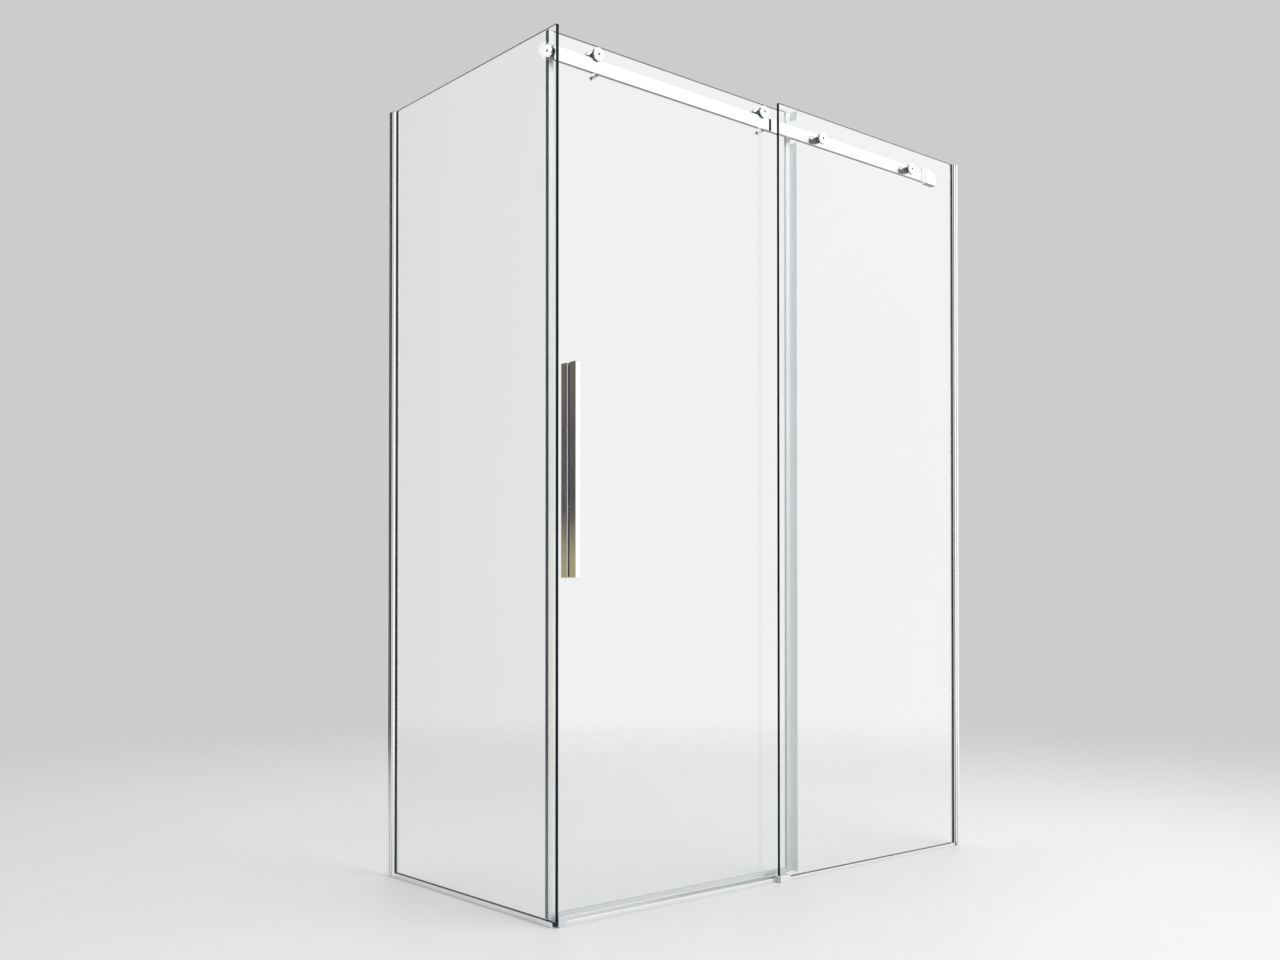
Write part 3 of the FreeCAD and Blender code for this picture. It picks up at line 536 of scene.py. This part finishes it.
def capped_bolt(shank_end):
    """Return a bolt with a broad round cap, a rounded rim and a hexagonal socket."""
    return turned([
        *HEX_SOCKET, *rim(CAP_R, 0, 0.9, FRONT),
        # Painted shade: a dark crescent on the cap's back rim
        *in_shade([(CAP_R, 4.4), *rim(CAP_R, 7, 0.4, BACK)]),
        (BOLT_R, 7), (BOLT_R, shank_end), (0, shank_end),
    ], steps=72)


def sleeve(outer, length, ease=0.25):
    """Return a plain sleeve or collar for a bolt, with eased rims."""
    return turned([
        (BOLT_HOLE_R, 0), (outer - ease, 0), (outer, ease),
        (outer, length - ease), (outer - ease, length), (BOLT_HOLE_R, length),
    ], closed=True)


# ------------------------------------------- repeated fasteners, by node tree

def fastener_tree():
    """Build the tree that sets one turned part on every mark, turned by chance."""
    tree = bpy.data.node_groups.new("fasteners_on_marks", "GeometryNodeTree")
    group_input(tree, "Marks", "NodeSocketGeometry")
    group_input(tree, "Fastener", "NodeSocketObject")
    group_input(tree, "Size", "NodeSocketFloat", 1.0)
    group_input(tree, "Largest turn", "NodeSocketFloat", 0.0)
    group_input(tree, "Finish", "NodeSocketMaterial")
    group_input(tree, "Painted shade", "NodeSocketMaterial")
    group_output(tree, "Fasteners", "NodeSocketGeometry")
    source = tree.nodes.new("NodeGroupInput")
    result = tree.nodes.new("NodeGroupOutput")
    part = add_node(tree, "GeometryNodeObjectInfo", As_Instance=True)
    aim = add_node(tree, "GeometryNodeInputNamedAttribute", data_type="FLOAT_VECTOR",
                   Name="aim")
    aimed = tree.nodes.new("FunctionNodeEulerToRotation")
    chance = add_node(tree, "FunctionNodeRandomValue", data_type="FLOAT", Seed=7)
    about = tree.nodes.new("ShaderNodeCombineXYZ")
    spun = tree.nodes.new("FunctionNodeEulerToRotation")
    both = add_node(tree, "FunctionNodeRotateRotation", rotation_space="LOCAL")
    size = tree.nodes.new("ShaderNodeCombineXYZ")
    put = tree.nodes.new("GeometryNodeInstanceOnPoints")
    real = tree.nodes.new("GeometryNodeRealizeInstances")
    finish = tree.nodes.new("GeometryNodeSetMaterial")
    # Faces marked in the turned part take the painted shade material
    marked = add_node(tree, "GeometryNodeInputNamedAttribute", data_type="INT",
                      Name="second_finish")
    painted_shade = tree.nodes.new("GeometryNodeSetMaterial")
    link = tree.links.new
    link(source.outputs["Fastener"], part.inputs["Object"])
    link(aim.outputs["Attribute"], aimed.inputs[0])
    link(source.outputs["Largest turn"], chance.inputs[LARGEST_CHANCE])
    link(chance.outputs[CHANCE_VALUE], about.inputs["Z"])
    link(about.outputs[0], spun.inputs[0])
    link(aimed.outputs[0], both.inputs["Rotation"])
    link(spun.outputs[0], both.inputs["Rotate By"])
    for letter in "XYZ":
        link(source.outputs["Size"], size.inputs[letter])
    link(source.outputs["Marks"], put.inputs["Points"])
    link(part.outputs["Geometry"], put.inputs["Instance"])
    link(both.outputs[0], put.inputs["Rotation"])
    link(size.outputs[0], put.inputs["Scale"])
    link(put.outputs["Instances"], real.inputs["Geometry"])
    link(real.outputs["Geometry"], finish.inputs["Geometry"])
    link(source.outputs["Finish"], finish.inputs["Material"])
    link(finish.outputs["Geometry"], painted_shade.inputs["Geometry"])
    link(marked.outputs["Attribute"], painted_shade.inputs["Selection"])
    link(source.outputs["Painted shade"], painted_shade.inputs["Material"])
    link(painted_shade.outputs["Geometry"], result.inputs["Fasteners"])
    return tree


FASTENERS = fastener_tree()


# Faces marked in a turned part take painted shade: dark brown unless another material is
# given
def fasteners(name, shape, marks, body, stands_for, finish, painted_shade=SOCKET,
              largest_turn=0.0):
    """Repeat a turned part on marks of (place, aim) and show the result as one piece."""
    part = bpy.data.objects.new(name + "_part", as_mesh(shape, name + "_part"))
    marked = bpy.data.meshes.new(name + "_marks")
    marked.from_pydata([tuple(place) for place, aim in marks], [], [])
    aims = marked.attributes.new("aim", "FLOAT_VECTOR", "POINT")
    for index, (place, aim) in enumerate(marks):
        aims.data[index].vector = aim
    host = bpy.data.objects.new(name + "_host", marked)
    for helper in (part, host):
        bpy.context.scene.collection.objects.link(helper)
    modifier = host.modifiers.new("fasteners", "NODES")
    modifier.node_group = FASTENERS
    values = {"Fastener": part, "Size": 1.0, "Largest turn": largest_turn,
              "Finish": finish, "Painted shade": painted_shade}
    for item in FASTENERS.interface.items_tree:
        if (item.item_type == "SOCKET" and item.in_out == "INPUT"
                and item.name in values):
            modifier[item.identifier] = values[item.name]
    bpy.context.view_layer.update()
    seen = host.evaluated_get(bpy.context.evaluated_depsgraph_get())
    mesh = bpy.data.meshes.new_from_object(seen)
    mesh.name = name
    host.modifiers.remove(modifier)
    for helper in (part, host):
        bpy.data.objects.remove(helper)
    return finished(name, mesh, body, stands_for)


# -------------------------------------------------------------------- glass

# The finishes of a pane, in the order of its materials
PANE_FACE, UPRIGHT_EDGE, LEVEL_EDGE, FAR_EDGE = range(4)


def glass_piece(node, across, body, far_edge=GLASS_EDGE):
    """Show a pane with clear faces, dark uprights, ground level edges and a far edge."""
    shape = merged_copy(node)
    many_sided = [face for face in shape.faces if len(face.verts) > 4]
    bmesh.ops.triangulate(shape, faces=many_sided)
    shape.normal_update()
    for face in shape.faces:
        normal = face.normal
        if abs(normal[across]) > 0.99:
            face.material_index = PANE_FACE
        elif normal[1 - across] > 0.9:
            face.material_index = FAR_EDGE
        elif abs(normal.z) > 0.4:
            face.material_index = LEVEL_EDGE
        else:
            face.material_index = UPRIGHT_EDGE
    mesh = as_mesh(shape, node + "_pane", GLASS, GLASS_EDGE, GLASS_TOP, far_edge)
    return finished(node + "_pane", mesh, body, [node], sharp=20.0)


# The side pane's far end, hidden in the wall profile, takes painted slate shade
glass_piece("side_panel_glass", 0, "frame", PAINTED_SLATE_SHADE)
glass_piece("fixed_panel_glass", 1, "frame")
glass_piece("door_glass", 1, "door")


# ------------------------------------------- rail, bolts, stops and guide

def through_fixed_pane(start):
    """Return the marks on both bolts of the fixed pane at one depth."""
    return [(at(x, start, RAIL_MID_Z), ALONG_Y) for x in FIXED_BOLT_X]


def through_side_pane(start):
    """Return the mark on the side pane's bolt at one depth."""
    return [(at(start, RAIL_MID_Y, RAIL_MID_Z), ALONG_X)]


fasteners("fixed_rail_bolts", capped_bolt(34.5), through_fixed_pane(CAP_START), "frame",
          ["rail_bolts"], CHROME, largest_turn=1.0)
fasteners("side_rail_bolt", capped_bolt(39.0), through_side_pane(CAP_START), "frame",
          ["rail_bolts"], MIRROR)
fasteners("clear_bolt_sleeves", sleeve(SLEEVE_R, 10),
          through_fixed_pane(SLEEVE_START) + through_side_pane(SLEEVE_START), "frame",
          ["rail_bolt_sleeves"], WASHER)
# Painted shade: the collars behind the caps take near-black metal
fasteners("rail_collars", sleeve(9, 9, 0.5), through_fixed_pane(COLLAR_START), "frame",
          ["rail_spacers"], PAINTED_SHADE_METAL)
fasteners("side_collar", sleeve(10, 4, 0.5), through_side_pane(COLLAR_START), "frame",
          ["rail_spacers"], PAINTED_SHADE_METAL)

eased_piece("rail", "frame", CHROME, 0.5)
eased_piece("rail_end_stop", "frame", CHROME, 0.6)
guide = eased_piece("guide_block", "frame", CHROME, 0.6)
# Painted shade: the guide block's faces towards -X take duller, darker steel
second_finish(guide, STEEL, lambda polygon: polygon.normal.x < -0.7)
eased_piece("threshold_profile", "frame", LEVEL_X, 0.3)
eased_piece("threshold_corner_block", "frame", GREY_BLOCK, 0.35)
eased_piece("guide_fork", "frame", DARK_FORK, 0.5)


# ------------------------------------------- wheels, their axles and the pins

def on_axle(x, start):
    """Return the mark on one axle at one depth."""
    return at(x, start, WHEEL_Z), ALONG_Y


# The wheels' treads and the nuts' rims take painted shade in near-black metal
for side, x in zip(("left", "right"), WHEEL_X):
    body = side + "_wheel"
    fasteners(body + "_turned", turned(WHEEL, closed=True), [on_axle(x, WHEEL_START)], body,
              [body], CHROME, PAINTED_SHADE_METAL)
    fasteners(body + "_bearing_sealed", turned(BEARING, closed=True),
              [on_axle(x, BEARING_START)], body, [body + "_bearing"], STEEL)

fasteners("socket_axles", turned(AXLE), [on_axle(x, WHEEL_START) for x in WHEEL_X], "door",
          ["roller_axles"], CHROME, largest_turn=1.0)
# Painted shade: the axle collars take near-black metal
fasteners("axle_collars", sleeve(9.5, 5.2, 0.5),
          [on_axle(x, AXLE_COLLAR_START) for x in WHEEL_X], "door",
          ["roller_spacers"], PAINTED_SHADE_METAL)
fasteners("clear_axle_sleeves", sleeve(SLEEVE_R, 10),
          [on_axle(x, DOOR_SLEEVE_START) for x in WHEEL_X], "door",
          ["roller_sleeves"], WASHER)
fasteners("round_axle_nuts", turned(ROUND_NUT), [on_axle(x, NUT_START) for x in WHEEL_X],
          "door", ["roller_nuts"], CHROME, PAINTED_SHADE_METAL)
fasteners("rail_pins", turned(PIN), [(at(x, PIN_START, PIN_Z), ALONG_Y) for x in WHEEL_X],
          "door", ["antijump_pins"], CHROME)
fasteners("rail_pin_bushes", turned(PIN_BUSH),
          [(at(x, PIN_BUSH_START, PIN_Z), ALONG_Y) for x in WHEEL_X], "door",
          ["antijump_pins"], WASHER, WASHER)


# ------------------------------------------------------------------- handle

for node in ("handle_outer", "handle_inner"):
    eased_piece(node, "door", CHROME, 0.35)
dress("handle_studs", STEEL)
dress("handle_pads", PAD)


# ------------------------------------------------ wall and floor profiles

def glass_strips(side, across):
    """Show the two strips that wedge a pane: dark rubber outside, clear vinyl inside."""
    node = side + "_glass_gasket"
    shape = merged_copy(node)
    middle = at(GLASS_MIDDLE, GLASS_MIDDLE, 0)[across]
    for face in shape.faces:
        face.material_index = 1 if face.calc_center_median()[across] > middle else 0
    mesh = as_mesh(shape, node + "_strips", RUBBER, INNER_STRIP)
    return finished(node + "_strips", mesh, "frame", [node])


def wall_profile(side, across, deep):
    """Show one wall profile: channel with painted shade in its groove, glass profile, cap,
    strips.
    """
    wall = at(RIGHT_WALL_X, LEFT_WALL_Y, 0)[deep]

    def in_groove(polygon):
        """Return whether a face is the bottom of the channel's outer groove."""
        depth = wall - polygon.center[deep]
        return polygon.normal[across] < -0.9 and GROOVE_NEAR * MM < depth < GROOVE_FAR * MM

    eased_piece(side + "_glass_profile", "frame", UPRIGHT, 0.35)
    channel = eased_piece(side + "_wall_channel", "frame", UPRIGHT, 0.35)
    # Painted shade in the channel's groove
    second_finish(channel, PAINTED_GROOVE_SHADE, in_groove)
    eased_piece(side + "_top_cap", "frame", GREY_CAP, 0.3)
    glass_strips(side, across)


fasteners("left_button_screws", turned(CLAMP_SCREW, steps=48),
          [(at(SCREW_FACE, LEFT_SCREW_Y, z), ALONG_MINUS_X) for z in LEFT_SCREW_Z],
          "frame", ["left_clamp_screws"], STEEL, largest_turn=1.0)
fasteners("right_button_screws", turned(CLAMP_SCREW, steps=48),
          [(at(RIGHT_SCREW_X, SCREW_FACE, z), ALONG_MINUS_Y) for z in RIGHT_SCREW_Z],
          "frame", ["right_clamp_screws"], STEEL, largest_turn=1.0)
wall_profile("left", across=0, deep=1)
wall_profile("right", across=1, deep=0)
eased_piece("side_floor_profile", "frame", LEVEL_Y, 0.3)
eased_piece("fixed_floor_profile", "frame", LEVEL_X, 0.3)
dress("side_floor_gasket", RUBBER)
dress("fixed_floor_gasket", RUBBER)


# -------------------------------------------------------------------- seals

# Painted shade: the leading seal's faces that look towards -X take dark slate
seal_shape = merged_copy("door_leading_seal")
seal_shape.normal_update()
for face in seal_shape.faces:
    face.material_index = 1 if face.normal.x < -0.4 else 0
finished("door_leading_seal_lipped", as_mesh(seal_shape, "door_leading_seal_lipped", SEAL, PAINTED_SLATE_SHADE),
         "door", ["door_leading_seal"])
for node in ("door_trailing_seal", "door_bottom_seal", "end_stop_buffer"):
    dress(node, SEAL)


# ---------------------------------------------------- floor, light and camera

FLOOR_HALF = 14  # in metres, as are the floor's drop and the reach of its fade
FLOOR_DROP = 0.0005
FADE_START = 1.1
FADE_END = 4.5


def studio_floor():
    """Lay a plain pale floor that fades into the backdrop away from the enclosure."""
    mesh = bpy.data.meshes.new("floor")
    half = FLOOR_HALF
    mesh.from_pydata([(-half, -half, 0), (half, -half, 0), (half, half, 0), (-half, half, 0)],
                     [], [(0, 1, 2, 3)])
    floor = bpy.data.objects.new("floor", mesh)
    floor.location.z = -FLOOR_DROP
    bpy.context.scene.collection.objects.link(floor)
    material, tree, shader = blank("pale_floor", 0.45, Specular_IOR_Level=0.3)
    place = tree.nodes.new("ShaderNodeTexCoord")
    reach = add_node(tree, "ShaderNodeVectorMath", operation="LENGTH")
    fade = add_node(tree, "ShaderNodeMapRange", interpolation_type="SMOOTHSTEP",
                    From_Min=FADE_START, From_Max=FADE_END)
    grain = placed_group(tree, SKIN, Grain_size=60.0)
    two_tones(tree, shader, grain.outputs["Cloud"], (0.80, 0.80, 0.795), (0.82, 0.82, 0.815))
    clear = tree.nodes.new("ShaderNodeBsdfTransparent")
    mix = tree.nodes.new("ShaderNodeMixShader")
    link = tree.links.new
    link(place.outputs["Object"], reach.inputs[0])
    link(reach.outputs["Value"], fade.inputs["Value"])
    link(fade.outputs["Result"], mix.inputs["Fac"])
    link(shader.outputs["BSDF"], mix.inputs[1])
    link(clear.outputs["BSDF"], mix.inputs[2])
    link(mix.outputs["Shader"], tree.nodes["Material Output"].inputs["Surface"])
    mesh.materials.append(material)


# What the camera sees behind the enclosure, what glass shows behind itself, and what
# lights the pieces
BACKDROP = (0.60, 0.605, 0.61)
THROUGH_GLASS = (0.87, 0.87, 0.87)
ROOM_LIGHT = (0.74, 0.74, 0.74)

# What metal and glass mirror
PLAIN = (0.80, 0.80, 0.80)
BRIGHT = (1.15, 1.15, 1.15)
DARK_GREY = (0.20, 0.20, 0.21)
SLATE = (0.070, 0.073, 0.080)
BLACK = (0.004, 0.004, 0.008)
OLIVE = (0.40, 0.35, 0.16)
DEEP_BROWN = (0.030, 0.016, 0.018)
WARM_BROWN = (0.075, 0.055, 0.022)


def studio_world():
    """Light the room evenly, with a pale backdrop and bright and dark sides to mirror."""
    world = bpy.data.worlds.new("studio")
    world.use_nodes = True
    bpy.context.scene.world = world
    tree = world.node_tree
    tree.nodes.clear()
    link = tree.links.new
    place = tree.nodes.new("ShaderNodeTexCoord")
    path = tree.nodes.new("ShaderNodeLightPath")

    def level_direction():
        """Return the ray's direction turned down to the horizon."""
        flat = add_node(tree, "ShaderNodeVectorMath", operation="MULTIPLY")
        flat.inputs[1].default_value = (1.0, 1.0, 0.0)
        unit = add_node(tree, "ShaderNodeVectorMath", operation="NORMALIZE")
        link(place.outputs["Generated"], flat.inputs[0])
        link(flat.outputs[0], unit.inputs[0])
        return unit.outputs[0]

    def stepped(value, start, end):
        """Return a soft step from 0 to 1 as a value passes from start to end."""
        band = add_node(tree, "ShaderNodeMapRange", interpolation_type="SMOOTHSTEP",
                        From_Min=start, From_Max=end)
        link(value, band.inputs["Value"])
        return band.outputs["Result"]

    def facing(rays, direction, start, end):
        """Return how far the rays point towards a direction, from 0 to 1."""
        dot = add_node(tree, "ShaderNodeVectorMath", operation="DOT_PRODUCT")
        dot.inputs[1].default_value = Vector(direction).normalized()
        link(rays, dot.inputs[0])
        return stepped(dot.outputs["Value"], start, end)

    def blended(mask, low, high):
        """Mix two colours, or a colour and an earlier mix, by a mask."""
        mix = add_node(tree, "ShaderNodeMix", data_type="RGBA")
        link(mask, mix.inputs["Factor"])
        for index, colour in ((COLOUR_A, low), (COLOUR_B, high)):
            if isinstance(colour, tuple):
                mix.inputs[index].default_value = (*colour, 1.0)
            else:
                link(colour, mix.inputs[index])
        return mix.outputs[MIXED_COLOUR]

    rays = place.outputs["Generated"]
    level = level_direction()
    height = tree.nodes.new("ShaderNodeSeparateXYZ")
    link(rays, height.inputs[0])
    climb = height.outputs["Z"]

    # The handle mirrors brown bands, the left wall channel black
    brown = blended(stepped(climb, 0.02, 0.07), OLIVE, DEEP_BROWN)
    brown = blended(stepped(climb, 0.11, 0.17), brown, WARM_BROWN)
    shade = blended(facing(level, (-0.6125, 0.7905, 0), 0.99975, 0.99992), SLATE, brown)
    shade = blended(facing(level, (-0.4965, 0.868, 0), 0.9990, 0.9996), shade, BLACK)
    inside = blended(stepped(climb, 0.19, 0.23), DARK_GREY, BRIGHT)

    # Each side of the room: which rays see it, where it lies, where it fades in, its light
    mirrored = PLAIN
    for seen_by, direction, start, end, side in (
            (level, (0.174, 0.985, 0), 0.616, 0.669, inside),
            (level, (-0.83, 0.56, 0), 0.965, 0.98, BRIGHT),
            (level, (-0.55, 0.835, 0), 0.974, 0.9877, shade),
            # the side bolt's cap
            (rays, (-0.55, 0.7407, 0.3859), 0.9999791, 0.9999863, BRIGHT),
            # the faces that look out of the front
            (rays, (0.65, -0.76, 0.1), 0.55, 0.85, BRIGHT)):
        mirrored = blended(facing(seen_by, direction, start, end), mirrored, side)

    was_mirrored = add_node(tree, "ShaderNodeMath", operation="GREATER_THAN")
    was_mirrored.inputs[1].default_value = 0.5
    link(path.outputs["Glossy Depth"], was_mirrored.inputs[0])
    light = blended(path.outputs["Is Camera Ray"], ROOM_LIGHT, BACKDROP)
    light = blended(path.outputs["Is Transmission Ray"], light, THROUGH_GLASS)
    light = blended(was_mirrored.outputs[0], light, mirrored)
    glow = tree.nodes.new("ShaderNodeBackground")
    link(light, glow.inputs["Color"])
    result = tree.nodes.new("ShaderNodeOutputWorld")
    link(glow.outputs["Background"], result.inputs["Surface"])


def soft_lamp(name, place, target, size, power):
    """Hang one square soft lamp that points at a target, in metres."""
    data = bpy.data.lights.new(name, "AREA")
    data.shape = "RECTANGLE"
    data.size = size
    data.size_y = size
    data.energy = power
    lamp = bpy.data.objects.new(name, data)
    lamp.location = place
    towards = Vector(target) - Vector(place)
    lamp.rotation_euler = towards.to_track_quat("-Z", "Y").to_euler()
    lamp.visible_glossy = False
    lamp.visible_transmission = False
    lamp.visible_camera = False
    bpy.context.scene.collection.objects.link(lamp)


def camera():
    """Set the camera where the photograph was taken, in metres."""
    data = bpy.data.cameras.new("camera")
    data.lens = 36.686
    data.sensor_width = 36.0
    data.shift_y = 0.0769
    data.clip_start = 0.05
    data.clip_end = 60.0
    eye = bpy.data.objects.new("camera", data)
    eye.location = (-2.46611, -2.65209, 0.73295)
    eye.rotation_euler = (math.radians(90.716), 0.0, math.radians(-40.696))
    bpy.context.scene.collection.objects.link(eye)
    bpy.context.scene.camera = eye


camera()
studio_floor()
studio_world()
soft_lamp("high_lamp", place=(0.6, -2.6, 3.6), target=(0.0, 0.0, 0.8), size=2.4, power=85.0)
bpy.context.scene.view_settings.view_transform = "Standard"
